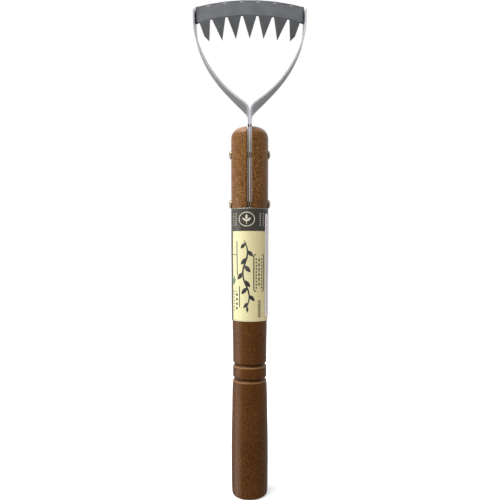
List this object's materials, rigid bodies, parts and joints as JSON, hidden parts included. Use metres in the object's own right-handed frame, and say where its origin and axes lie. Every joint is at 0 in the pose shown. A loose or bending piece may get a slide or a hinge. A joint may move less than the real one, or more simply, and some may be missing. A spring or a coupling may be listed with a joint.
{
  "type": "toothed hand rake with wooden handle",
  "caption": "Hand tool with a turned wooden handle, two riveted steel straps that spread into a fork, and an arched blade with long teeth facing the grip.",
  "frame": {"origin": "centre of the handle's flat butt", "axes": "+Z along the handle from the butt to the toothed head, -Y the front, which the blade's plate faces, +X to the right seen from the front"},
  "size_m": [0.0766, 0.026, 0.3348],
  "materials": {
    "stained_wood": "brown stained and lacquered, satin, fine open pores",
    "plated_steel": "bright satin plating with fine lengthwise polishing",
    "dark_steel": "hardened grey steel, ground teeth, dull",
    "brass": "pale, slightly tarnished",
    "printed_paper": "printed, slight sheen",
    "white_paper": "matt adhesive paper"
  },
  "bodies": {
    "root": {"handle": "stained_wood", "left_arm": "plated_steel", "right_arm": "plated_steel", "blade": "dark_steel", "upper_handle_rivet": "brass", "lower_handle_rivet": "brass", "left_blade_rivet_front": "plated_steel", "left_blade_rivet_rear": "plated_steel", "right_blade_rivet_front": "plated_steel", "right_blade_rivet_rear": "plated_steel", "label": "printed_paper", "label_strip": "white_paper"}
  },
  "joints": []
}
